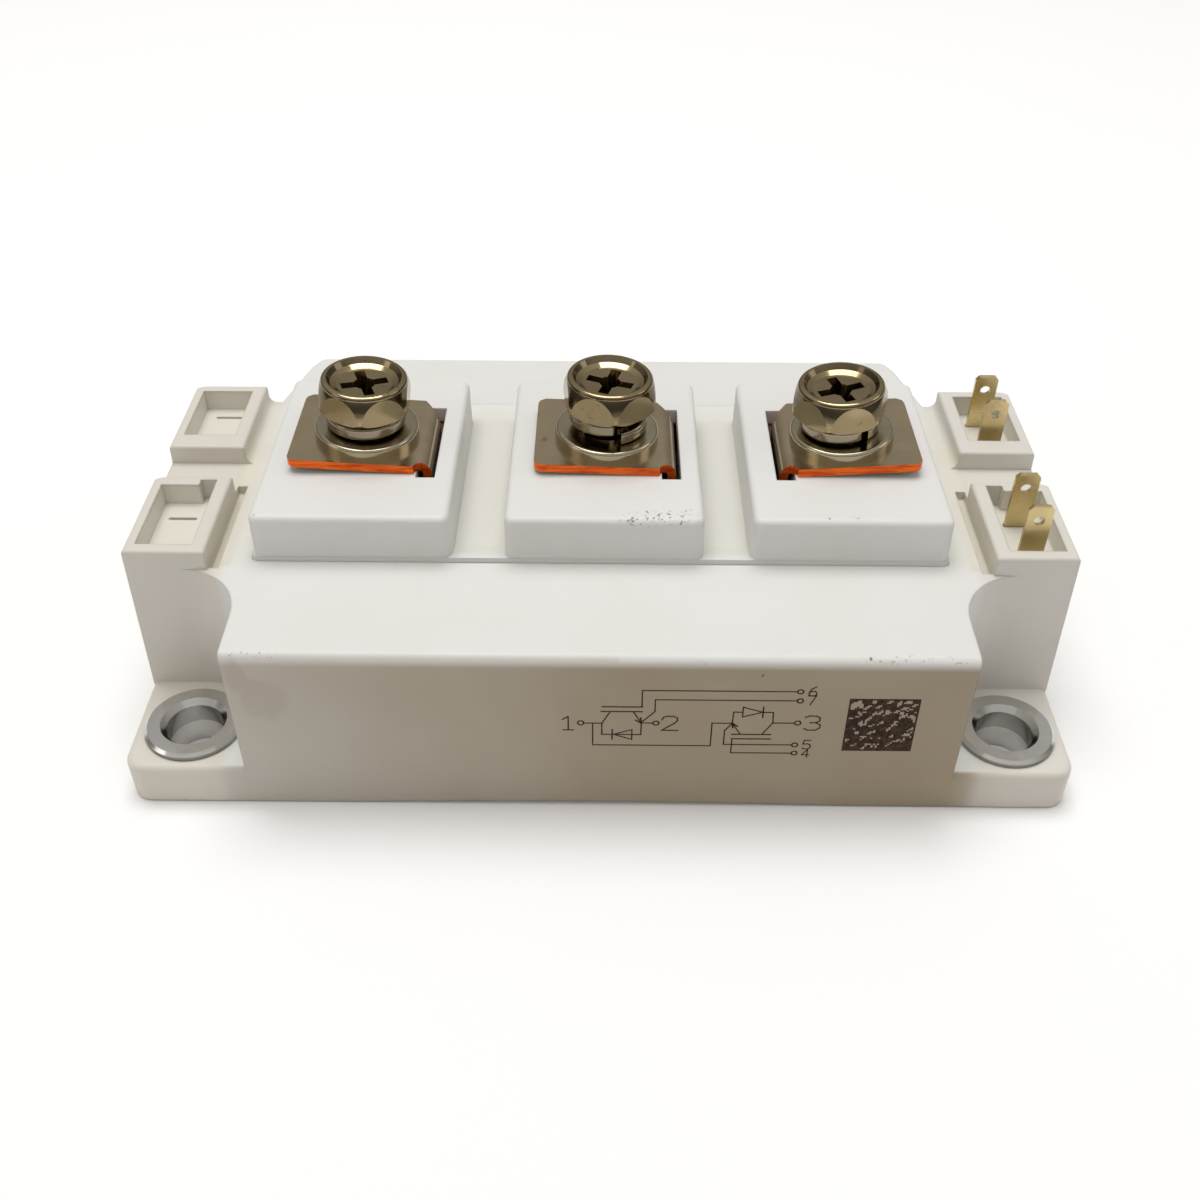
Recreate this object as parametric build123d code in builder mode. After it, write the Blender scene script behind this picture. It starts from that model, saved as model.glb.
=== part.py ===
from build123d import *
import os
from math import cos, radians, sin, tan

# Half-bridge power module, 62 mm wide class, millimetres.
# Origin: middle of the baseplate underside. +X along the long side, +Y to the
# back, +Z up. The module rests on z = 0.

os.makedirs("parts", exist_ok=True)

# ---------------------------------------------------------------- driving sizes
length = 106.4                 # footprint along x
width = 61.4                   # footprint along y
hole_x = 93.0 / 2              # mounting holes, half spacing along x
hole_y = 48.0 / 2              # mounting holes, half spacing along y
hole_d = 6.4                   # through hole for the mounting screws
terminal_pitch = 28.0          # between the power terminals
contact_z = 30.0               # nominal height of the terminal contact faces

plate_t = 3.0                  # baseplate thickness
skirt_z = 0.1                  # underside of the plastic at the ears
skirt_bow = 0.45               # how far the plastic rises in the middle
plate_inset = 0.8              # plastic wall round the baseplate
flange_z = 5.3                 # top of the four ears
corner_r = 2.5                 # plan corners of the flange

body_half = 39.45              # half length of the front block
edge_z = 22.2                  # shelf height at the front and rear edges
deck_z = 22.6                  # deck height beside the cover
front_lean = 0.35              # how far the long walls lean in
end_lean = 0.6                 # how far the end walls lean in at the rims
edge_r = 0.9                   # soft front edge
niche_x, niche_y, niche_r = 46.6, 23.9, 7.15
end_front_y = -16.75           # front end wall
end_rear_y = 18.2              # rear end wall
wall = 2.0                     # general plastic wall

rim_z = 25.0                   # top of the socket rims
socket_in = 43.55              # inner face of the socket rims
socket_out = length / 2        # outer face at the foot
sock_f = (-16.75, -2.3)        # front sockets, y range
sock_b = (3.9, 18.2)           # back sockets, y range
pocket_z = 22.3                # pocket floor
pocket_x = (45.15, 51.45)      # pocket, x range
pock_f = (-15.35, -4.05)
pock_b = (6.6, 16.8)

cover_half = 39.0              # top cover, half length
cover_y = (-15.2, 17.2)
cover_z = 23.2                 # raised lips at both ends of the channels
channel_z = 22.65              # channel floor
ledge_z = 20.6                 # ledge in the housing that carries the cover
block_w = 22.2                 # terminal blocks at their base
block_y = (-15.2, 14.5)
block_z = 28.5
block_x = (-27.65, 0.4, 27.75)

tab_t = 1.0                    # terminal sheet
tab_lift = (3.4, 2.0, 3.8)     # degrees by which each loose contact plate springs up
tab_y = (-6.6, 7.5)
tab_in = (-7.7, -7.7, -8.4)    # free edge, from the terminal axis
tab_out = (8.6, 8.6, 7.6)      # outside of the bend
bend_r = 1.6
slot_y = (-7.2, 7.45)

screw_d = 5.4                  # plain shank of the M6 screws, at the pitch diameter
screw_x = (-27.4, 0.65, 27.6)
washer_x = (-27.35, 0.6, 27.95)
nut_af, nut_h = 10.0, 5.0
hex_af = 9.9
washer_t, spring_t, head_t = 1.3, 1.6, 3.8

ctrl_x = 48.25
ctrl_y = {"4": -13.2, "5": -7.1, "7": 8.5, "6": 14.2}
ctrl_w, ctrl_t = 2.8, 0.5
ctrl_top = 29.7

copper_z = 4.2                 # top of the circuit copper inside

term_x = (-terminal_pitch, 0, terminal_pitch)
term_s = (1, 1, -1)            # side on which each terminal bends down


def plate_under(u, lift, out):
    """Height of a contact plate's underside at u from its axis towards the bend, whose outside is at out."""
    return block_z + (out - bend_r - u) * tan(lift)


# nuts stand under the leaning screws
nut_x = [xs - s * 4.0 * tan(radians(a)) for xs, s, a in zip(screw_x, term_s, tab_lift)]


# ---------------------------------------------------------------- baseplate
with BuildPart() as baseplate:
    with BuildSketch(Plane.XY):
        RectangleRounded(length - 2 * plate_inset, width - 2 * plate_inset, corner_r - plate_inset)
        with GridLocations(2 * hole_x, 2 * hole_y, 2, 2):
            Circle(hole_d / 2, mode=Mode.SUBTRACT)
    extrude(amount=plate_t)
    chamfer(baseplate.faces().sort_by(Axis.Z)[0].outer_wire().edges(), 0.25)
baseplate.part.label = "baseplate"
export_step(baseplate.part, "parts/baseplate.step")

# ---------------------------------------------------------------- bushings
bushing_top = flange_z + 0.85
for label, sx, sy in (("front_left", -1, -1), ("front_right", 1, -1), ("rear_left", -1, 1), ("rear_right", 1, 1)):
    with BuildPart() as bushing:
        with BuildSketch(Plane.XZ):
            with BuildLine():
                Polyline(
                    (hole_d / 2, plate_t), (4.6, plate_t), (4.6, flange_z - 0.3), (5.55, flange_z - 0.3),
                    (5.55, bushing_top - 0.35), (5.2, bushing_top), (3.75, bushing_top),
                    (hole_d / 2, bushing_top - 0.75), (hole_d / 2, plate_t),
                )
            make_face()
        revolve(axis=Axis.Z, revolution_arc=360)
    placed = bushing.part.moved(Location((sx * hole_x, sy * hole_y, 0)))
    placed.label = "bushing_" + label
    export_step(placed, "parts/bushing_" + label + ".step")

# ---------------------------------------------------------------- housing
# Right half of the body outline above the flange; the left half is its mirror.
arc_mid = (niche_x - niche_r * cos(radians(45)), -niche_y + niche_r * sin(radians(45)))
with BuildPart() as flange:
    with BuildSketch(Plane.XY):
        RectangleRounded(length, width, corner_r)
    extrude(amount=flange_z)
    fillet(flange.faces().sort_by(Axis.Z)[-1].outer_wire().edges(), 0.8)

with BuildPart() as housing_frame:
    # body above the flange
    with BuildSketch(Plane.XY):
        with BuildLine():
            Polyline((0, -width / 2), (body_half, -width / 2), (body_half, -niche_y))
            ThreePointArc((body_half, -niche_y), arc_mid, (niche_x, end_front_y))
            Polyline(
                (niche_x, end_front_y), (socket_out, end_front_y), (socket_out, end_rear_y),
                (41.9, end_rear_y), (39.7, 27.6), (38.7, 29.7), (36.6, width / 2), (0, width / 2),
            )
            mirror(about=Plane.YZ)
        make_face()
    extrude(amount=deck_z + 0.5)
    # vertical corners: rounded at the rear, nearly sharp at the front
    rear = housing_frame.edges().filter_by(Axis.Z).filter_by(lambda e: abs(abs(e.center().X) - socket_out) < 0.01 and e.center().Y > 0)
    fillet(rear, 2.0)
    corners = housing_frame.edges().filter_by(Axis.Z).filter_by(lambda e: e.center().Y > 27.0)
    fillet(corners, 1.2)
    front_corners = housing_frame.edges().filter_by(Axis.Z).filter_by(lambda e: e.center().Y < -width / 2 + 0.1)
    fillet(front_corners, 0.4)
    # flange with four ears
    add(flange.part)
    # long walls lean in a little, and both shelves fall slightly to their edge
    with BuildSketch(Plane.YZ):
        with BuildLine():
            Polyline(
                (-width / 2, skirt_z), (-width / 2, flange_z), (-width / 2 + front_lean, edge_z),
                (cover_y[0], deck_z), (cover_y[1], deck_z), (width / 2 - front_lean, edge_z),
                (width / 2, flange_z), (width / 2, skirt_z), (-width / 2, skirt_z),
            )
        make_face()
    extrude(amount=length, both=True, mode=Mode.INTERSECT)
    # moulded edges: a soft front edge and a smaller one behind
    front_edge = housing_frame.edges().filter_by(Axis.X).filter_by(lambda e: abs(e.center().Z - edge_z) < 0.05 and e.center().Y < 0)
    fillet(front_edge, edge_r)
    rear_edge = housing_frame.edges().filter_by(Axis.X).filter_by(lambda e: abs(e.center().Z - edge_z) < 0.05 and e.center().Y > 0)
    fillet(rear_edge, 0.5)

    # socket rims
    for side in (-1, 1):
        for y0, y1 in (sock_f, sock_b):
            with BuildSketch(Plane.XY.offset(deck_z - 1.5)):
                with Locations(Location((side * (socket_in + socket_out) / 2, (y0 + y1) / 2))):
                    rim = Rectangle(socket_out - socket_in, y1 - y0)
                fillet(rim.vertices().filter_by(lambda v: abs(v.X) > 50).sort_by(Axis.Y)[-1], 2.0)
            extrude(amount=rim_z - deck_z + 1.5)
    # the end walls lean in a little as well
    with BuildSketch(Plane.XZ):
        with BuildLine():
            Polyline(
                (-socket_out, 0), (-socket_out, flange_z), (-socket_out + end_lean, rim_z), (-socket_out + end_lean, rim_z + 1),
                (socket_out - end_lean, rim_z + 1), (socket_out - end_lean, rim_z), (socket_out, flange_z), (socket_out, 0), (-socket_out, 0),
            )
        make_face()
    extrude(amount=width, both=True, mode=Mode.INTERSECT)
    soft = housing_frame.edges().filter_by(lambda e: e.center().Z > rim_z - 0.01)
    fillet(soft, 0.35)
    # the rims run into the deck beside the cover with a soft fillet
    foot = housing_frame.edges().filter_by(Axis.Y).filter_by(
        lambda e: abs(abs(e.center().X) - socket_in) < 0.01 and abs(e.center().Z - deck_z) < 0.02 and e.center().Y > sock_b[0]
    )
    fillet(foot, 1.0)

    # pockets, with a coding notch in the front pair
    with BuildSketch(Plane.XY.offset(pocket_z)):
        with Locations((0, (pock_f[0] + pock_f[1]) / 2)):
            with GridLocations(pocket_x[0] + pocket_x[1], 1, 2, 1):
                Rectangle(pocket_x[1] - pocket_x[0], pock_f[1] - pock_f[0])
        with Locations((0, (pock_b[0] + pock_b[1]) / 2)):
            with GridLocations(pocket_x[0] + pocket_x[1], 1, 2, 1):
                Rectangle(pocket_x[1] - pocket_x[0], pock_b[1] - pock_b[0])
        with Locations((0, pock_f[1])):
            with GridLocations(2 * pocket_x[0] + 1.9, 1, 2, 1):
                Rectangle(1.9, 2.1)
    extrude(amount=6, mode=Mode.SUBTRACT)

    # narrow trench beside the front sockets
    with BuildSketch(Plane.XY.offset(deck_z - 1.0)):
        with Locations((0, -8.7)):
            with GridLocations(2 * socket_in - 1.15, 1, 2, 1):
                Rectangle(1.15, 15.5)
    extrude(amount=4, mode=Mode.SUBTRACT)

    # shallow blind slits in the floors of the two empty sockets
    with BuildSketch(Plane.XY.offset(pocket_z - 0.7)):
        with Locations((-48.7, ctrl_y["5"]), (-48.2, ctrl_y["6"] + 0.5)):
            SlotOverall(3.3, 0.42)
    extrude(amount=1.0, mode=Mode.SUBTRACT)

    # recess for the baseplate
    with BuildSketch(Plane.XY):
        RectangleRounded(length - 2 * plate_inset + 0.1, width - 2 * plate_inset + 0.1, corner_r - plate_inset)
    extrude(amount=plate_t, mode=Mode.SUBTRACT)

    # hollow inside
    with BuildSketch(Plane.XY.offset(plate_t)):
        Rectangle(2 * 37.3, 2 * 28.0)
    extrude(amount=edge_z - wall - plate_t - 0.2, mode=Mode.SUBTRACT)
    with BuildSketch(Plane.XY.offset(plate_t)):
        with Locations((0, (end_front_y + end_rear_y) / 2)):
            Rectangle(2 * (socket_out - 1.8), end_rear_y - end_front_y - 3.6)
    extrude(amount=edge_z - wall - plate_t - 0.2, mode=Mode.SUBTRACT)

    # opening and ledge for the cover
    cy = (cover_y[0] + cover_y[1]) / 2
    with BuildSketch(Plane.XY.offset(ledge_z)):
        with Locations((0, cy)):
            RectangleRounded(2 * cover_half, cover_y[1] - cover_y[0], 0.8)
    extrude(amount=6, mode=Mode.SUBTRACT)
    with BuildSketch(Plane.XY.offset(plate_t)):
        with Locations((0, cy)):
            Rectangle(2 * cover_half - 3.4, cover_y[1] - cover_y[0] - 3.4)
    extrude(amount=20, mode=Mode.SUBTRACT)

    # bushing seats
    with BuildSketch(Plane.XY.offset(plate_t - 0.5)):
        with GridLocations(2 * hole_x, 2 * hole_y, 2, 2):
            Circle(4.6)
    extrude(amount=4, mode=Mode.SUBTRACT)
    with BuildSketch(Plane.XY.offset(flange_z - 0.3)):
        with GridLocations(2 * hole_x, 2 * hole_y, 2, 2):
            Circle(5.55)
    extrude(amount=1.5, mode=Mode.SUBTRACT)

    # openings for the four control contacts
    with BuildSketch(Plane.XY.offset(plate_t)):
        with Locations(*[(ctrl_x, y) for y in ctrl_y.values()]):
            Rectangle(ctrl_w + 0.1, ctrl_t + 0.1)
    extrude(amount=rim_z, mode=Mode.SUBTRACT)

    # the underside of the long sides bows up slightly between the ears
    with BuildSketch(Plane.XZ.offset(-width)):
        with BuildLine():
            ThreePointArc((-44, -0.5), (0, skirt_z + skirt_bow), (44, -0.5))
            Line((44, -0.5), (-44, -0.5))
        make_face()
    extrude(amount=2 * width, mode=Mode.SUBTRACT)
housing_frame.part.label = "housing_frame"
export_step(housing_frame.part, "parts/housing_frame.step")

# ---------------------------------------------------------------- top cover
with BuildPart() as top_cover:
    with BuildSketch(Plane.XY.offset(ledge_z)):
        with Locations((0, (cover_y[0] + cover_y[1]) / 2)):
            RectangleRounded(2 * cover_half - 0.06, cover_y[1] - cover_y[0] - 0.06, 0.8)
    extrude(amount=cover_z - ledge_z)
    # channels between the blocks run down from a lip at either end
    with BuildSketch(Plane.YZ):
        with BuildLine():
            Polyline(
                (cover_y[0] + 0.5, cover_z + 1), (cover_y[0] + 0.5, cover_z), (cover_y[0] + 3.0, channel_z),
                (cover_y[1] - 3.0, channel_z), (cover_y[1] - 0.5, cover_z), (cover_y[1] - 0.5, cover_z + 1),
                (cover_y[0] + 0.5, cover_z + 1),
            )
        make_face()
    extrude(amount=cover_half + 1, both=True, mode=Mode.SUBTRACT)
    # three blocks
    for x in block_x:
        with BuildSketch(Plane.XY.offset(ledge_z)):
            with Locations((x, (block_y[0] + block_y[1]) / 2)):
                RectangleRounded(block_w, block_y[1] - block_y[0] - 0.06, 1.1)
        extrude(amount=block_z - ledge_z, taper=0.9)
    tops = top_cover.faces().filter_by(lambda f: abs(f.center().Z - block_z) < 0.01)
    fillet(tops.edges(), 0.7)
    # hollow blocks
    for x in block_x:
        with BuildSketch(Plane.XY.offset(ledge_z)):
            with Locations((x, (block_y[0] + block_y[1]) / 2)):
                Rectangle(block_w - 4.2, block_y[1] - block_y[0] - 4.2)
        extrude(amount=block_z - ledge_z - 1.9, mode=Mode.SUBTRACT)
    # boss under each contact for the nut and the screw end
    for x in (-terminal_pitch, 0, terminal_pitch):
        with BuildSketch(Plane.XY.offset(17.0)):
            with Locations((x, 0)):
                Circle(6.9)
        extrude(amount=block_z - 0.9 - 17.0)
    for x, s, out in zip(term_x, term_s, tab_out):
        # slot for the terminal leg
        with BuildSketch(Plane.XY.offset(10)):
            with Locations((x + s * (out - 0.6), (slot_y[0] + slot_y[1]) / 2)):
                Rectangle(2.2, slot_y[1] - slot_y[0])
        extrude(amount=25, mode=Mode.SUBTRACT)
    for xn in nut_x:
        # nut pocket and the blind bore below it
        with BuildSketch(Plane.XY.offset(block_z - nut_h - 0.4)):
            with Locations((xn, 0)):
                RegularPolygon(radius=(nut_af + 0.1) / 2, side_count=6, major_radius=False)
        extrude(amount=8, mode=Mode.SUBTRACT)
        with BuildSketch(Plane.XY.offset(19.0)):
            with Locations((xn, 0)):
                Circle(3.4)
        extrude(amount=8, mode=Mode.SUBTRACT)
top_cover.part.label = "top_cover"
export_step(top_cover.part, "parts/top_cover.step")

# ---------------------------------------------------------------- power terminals
for i, (x, s, free, out) in enumerate(zip(term_x, term_s, tab_in, tab_out), start=1):
    foot_dir = (-1, 1, 1)[i - 1]
    lift = radians(tab_lift[i - 1])
    leg_out = x + s * out
    leg_in = x + s * (out - tab_t)
    low = block_z
    # side view, u running from the terminal axis towards the leg
    uc = out - bend_r
    zc = plate_under(uc + bend_r * sin(lift), lift, out) + tab_t / cos(lift) - bend_r * cos(lift)
    half = radians(90) / 2 - lift / 2
    inner_r = bend_r - tab_t
    z_end = plate_under(free, lift, out)
    with BuildPart() as power_terminal:
        # contact plate, bend and leg, then the foot on the circuit copper
        with BuildSketch(Plane.XZ.offset(-tab_y[1])):
            with BuildLine():
                Line((x + s * free, z_end), (x + s * (free + tab_t * sin(lift)), z_end + tab_t * cos(lift)))
                Line(
                    (x + s * (free + tab_t * sin(lift)), z_end + tab_t * cos(lift)),
                    (x + s * (uc + bend_r * sin(lift)), zc + bend_r * cos(lift)),
                )
                ThreePointArc(
                    (x + s * (uc + bend_r * sin(lift)), zc + bend_r * cos(lift)),
                    (x + s * (uc + bend_r * cos(half)), zc + bend_r * sin(half)),
                    (leg_out, zc),
                )
                Line((leg_out, zc), (leg_out, copper_z))
                Line((leg_out, copper_z), (leg_in, copper_z))
                Line((leg_in, copper_z), (leg_in, zc))
                ThreePointArc(
                    (leg_in, zc),
                    (x + s * (uc + inner_r * cos(half)), zc + inner_r * sin(half)),
                    (x + s * (uc + inner_r * sin(lift)), zc + inner_r * cos(lift)),
                )
                Line((x + s * (uc + inner_r * sin(lift)), zc + inner_r * cos(lift)), (x + s * free, z_end))
            make_face()
        extrude(amount=tab_y[1] - tab_y[0])
        # foot
        fx0 = leg_in if foot_dir * s < 0 else leg_out
        with BuildSketch(Plane.XY.offset(copper_z)):
            with Locations((fx0 + foot_dir * 1.7, -0.6)):
                Rectangle(3.6, 10.0)
        extrude(amount=tab_t)
        # the leg is narrower than the plate, with a chamfered shoulder behind
        with BuildSketch(Plane.YZ.offset(x + (out - 1.65 if s > 0 else -out - 1.45))):
            with BuildLine():
                Polyline(
                    (tab_y[0] - 1, 0), (-5.6, 0), (-5.6, low - 0.2), (tab_y[0] - 1, low - 0.2), (tab_y[0] - 1, 0),
                )
            make_face()
            with BuildLine():
                Polyline(
                    (tab_y[1] + 1, 0), (4.4, 0), (4.4, low - 3.2), (6.9, low - 3.2), (6.9, low - 1.6), (4.4, low + 0.4),
                    (4.4, low + 0.45), (tab_y[1] + 1, low + 0.45), (tab_y[1] + 1, 0),
                )
            make_face()
        extrude(amount=3.1, mode=Mode.SUBTRACT)
        # plan trimming of the plate: corners of the free edge, cut at the bend, relief notch
        with BuildSketch(Plane.XY.offset(low - 1.8)):
            with BuildLine():
                Polyline(
                    (x + s * (out + 0.1), 4.4), (x + s * (out - 2.0), tab_y[1] + 0.1), (x + s * (out + 0.1), tab_y[1] + 0.1), close=True,
                )
            make_face()
            with BuildLine():
                Polyline(
                    (x + s * (free - 0.1), tab_y[1] - 1.4), (x + s * free, tab_y[1] - 1.3), (x + s * (free + 0.25), tab_y[1] - 0.5),
                    (x + s * (free + 0.9), tab_y[1]), (x + s * (free + 0.9), tab_y[1] + 0.1), (x + s * (free - 0.1), tab_y[1] + 0.1), close=True,
                )
            make_face()
            with BuildLine():
                ThreePointArc(
                    (x + s * free, tab_y[0] + 1.1), (x + s * (free + 0.32), tab_y[0] + 0.32), (x + s * (free + 1.1), tab_y[0]),
                )
                Polyline(
                    (x + s * (free + 1.1), tab_y[0]), (x + s * (free + 1.1), tab_y[0] - 0.1), (x + s * (free - 0.1), tab_y[0] - 0.1),
                    (x + s * (free - 0.1), tab_y[0] + 1.1), (x + s * free, tab_y[0] + 1.1),
                )
            make_face()
            with Locations((x + s * (out - 1.1), tab_y[0])):
                Circle(0.85)
            with Locations((x + s * (out - 0.5), tab_y[0] + 0.25)):
                Rectangle(1.4, 1.5)
        extrude(amount=4.6, mode=Mode.SUBTRACT)
        # screw hole
        with BuildSketch(Plane.XY.offset(low - 0.5)):
            with Locations((x, 0)):
                Circle(3.5)
        extrude(amount=3.0, mode=Mode.SUBTRACT)
    power_terminal.part.label = "power_terminal_%d" % i
    export_step(power_terminal.part, "parts/power_terminal_%d.step" % i)

# ---------------------------------------------------------------- screw, washers, nut
head_turn = (-90 + 2, -90 + 8, -60 + 10)       # where a corner of each head points
cross_turn = (21, -17, 17)
split_turn = (140, -77, -58)
spring_rise = (0.7, 1.25, 0.35)                # how far each split washer stays open
for i, (x, s, xs, xw, xn, out) in enumerate(zip(term_x, term_s, screw_x, washer_x, nut_x, tab_out), start=1):
    lift = radians(tab_lift[i - 1])
    # washers and screw sit square on the leaning plate
    on_plate = Location((xs, 0, plate_under(s * (xs - x), lift, out) + tab_t / cos(lift)), (0, s * tab_lift[i - 1], 0))
    washer_at = Location((xw, 0, plate_under(s * (xw - x), lift, out) + tab_t / cos(lift)), (0, s * tab_lift[i - 1], 0))

    with BuildPart() as captive_nut:
        with BuildSketch(Plane.XY.offset(block_z - nut_h - 0.1)):
            with Locations((xn, 0)):
                RegularPolygon(radius=nut_af / 2, side_count=6, major_radius=False)
                Circle(3.0, mode=Mode.SUBTRACT)
        extrude(amount=nut_h)
        chamfer(captive_nut.edges().filter_by(GeomType.CIRCLE), 0.4)
    captive_nut.part.label = "captive_nut_%d" % i
    export_step(captive_nut.part, "parts/captive_nut_%d.step" % i)

    with BuildPart() as flat_washer:
        with BuildSketch(Plane.XY):
            Circle(6.0)
            Circle(3.2, mode=Mode.SUBTRACT)
        extrude(amount=washer_t)
        fillet(flat_washer.faces().sort_by(Axis.Z)[-1].outer_wire().edges(), 0.45)
    placed = flat_washer.part.moved(washer_at)
    placed.label = "flat_washer_%d" % i
    export_step(placed, "parts/flat_washer_%d.step" % i)

    # split washer: one turn of rounded section, ends set apart
    gap = 13
    rise = spring_rise[i - 1]
    with BuildPart() as spring_washer:
        with BuildLine() as coil:
            Helix(pitch=rise, height=rise * (360 - gap) / 360, radius=3.85)
        with BuildSketch(Plane(origin=coil.line @ 0, x_dir=(1, 0, 0), z_dir=(0, 1, 0))):
            RectangleRounded(1.35, spring_t, 0.4)
        sweep(path=coil.line, is_frenet=True)
    placed = spring_washer.part.moved(on_plate * Location((0, 0, washer_t + spring_t / 2 + 0.02), (0, 0, split_turn[i - 1] + gap / 2)))
    placed.label = "spring_washer_%d" % i
    export_step(placed, "parts/spring_washer_%d.step" % i)

    z0 = washer_t + spring_t + rise + 0.04
    z1 = z0 + head_t
    with BuildPart() as terminal_screw:
        with BuildSketch(Plane.XY.offset(z0)):
            RegularPolygon(radius=hex_af / 2, side_count=6, major_radius=False)
        extrude(amount=head_t)
        # deep rounded chamfers leave an oval facet on each side
        with BuildSketch(Plane.XZ):
            with BuildLine():
                Line((0, z0), (4.7, z0))
                ThreePointArc((4.7, z0), (5.2, z0 + 0.2), (5.62, z0 + 0.75))
                ThreePointArc((5.62, z0 + 0.75), (5.37, z1 - 1.6), (4.93, z1 - 0.45))
                ThreePointArc((4.93, z1 - 0.45), (4.8, z1 - 0.13), (4.5, z1))
                Line((4.5, z1), (0, z1))
                Line((0, z1), (0, z0))
            make_face()
        revolve(axis=Axis.Z, revolution_arc=360, mode=Mode.INTERSECT)
        # dished top
        with BuildSketch(Plane.XZ):
            with BuildLine():
                Polyline(
                    (0, z1 - 0.95), (3.2, z1 - 0.85), (3.85, z1 - 0.55), (4.3, z1 + 0.05), (4.3, z1 + 0.5), (0, z1 + 0.5), (0, z1 - 0.95),
                )
            make_face()
        revolve(axis=Axis.Z, revolution_arc=360, mode=Mode.SUBTRACT)
        # cross recess, narrowing downwards
        turn = cross_turn[i - 1] - head_turn[i - 1]
        with BuildSketch(Plane.XY.offset(z1 - 0.8)):
            Rectangle(5.4, 1.25, rotation=turn)
            Rectangle(1.25, 5.4, rotation=turn)
            Circle(1.25)
        extrude(amount=-2.1, taper=16, mode=Mode.SUBTRACT)
        # shank
        with BuildSketch(Plane.XY.offset(-8.8)):
            Circle(screw_d / 2)
        extrude(amount=z0 + 8.8)
        chamfer(terminal_screw.faces().sort_by(Axis.Z)[0].edges(), 0.6)
    placed = terminal_screw.part.moved(on_plate * Location((0, 0, 0), (0, 0, head_turn[i - 1])))
    placed.label = "terminal_screw_%d" % i
    export_step(placed, "parts/terminal_screw_%d.step" % i)

# ---------------------------------------------------------------- control contacts
for name, y in ctrl_y.items():
    with BuildPart() as control_tab:
        # blade, facing front and back
        with BuildSketch(Plane.XZ.offset(-y - ctrl_t / 2)):
            with BuildLine():
                w = ctrl_w / 2
                Polyline(
                    (ctrl_x - w, 19.2), (ctrl_x - w, ctrl_top - 0.55), (ctrl_x - w + 0.5, ctrl_top), (ctrl_x + w - 0.5, ctrl_top),
                    (ctrl_x + w, ctrl_top - 0.55), (ctrl_x + w, 19.2), (ctrl_x + 0.7, 18.4), (ctrl_x + 0.7, copper_z), (ctrl_x - 0.7, copper_z),
                    (ctrl_x - 0.7, 18.4), (ctrl_x - w, 19.2),
                )
            make_face()
            with Locations((ctrl_x, ctrl_top - 2.0)):
                Circle(0.6, mode=Mode.SUBTRACT)
        extrude(amount=ctrl_t)
        chamfer(control_tab.edges().filter_by(Axis.X).filter_by(lambda e: e.center().Z > ctrl_top - 0.01), 0.16)
        # foot running in to the circuit board
        with BuildSketch(Plane.XY.offset(copper_z)):
            with Locations(((ctrl_x + 0.7 + 35.7) / 2, y)):
                Rectangle(ctrl_x + 0.7 - 35.7, 1.4)
        extrude(amount=ctrl_t)
    control_tab.part.label = "control_tab_" + name
    export_step(control_tab.part, "parts/control_tab_" + name + ".step")

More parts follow.
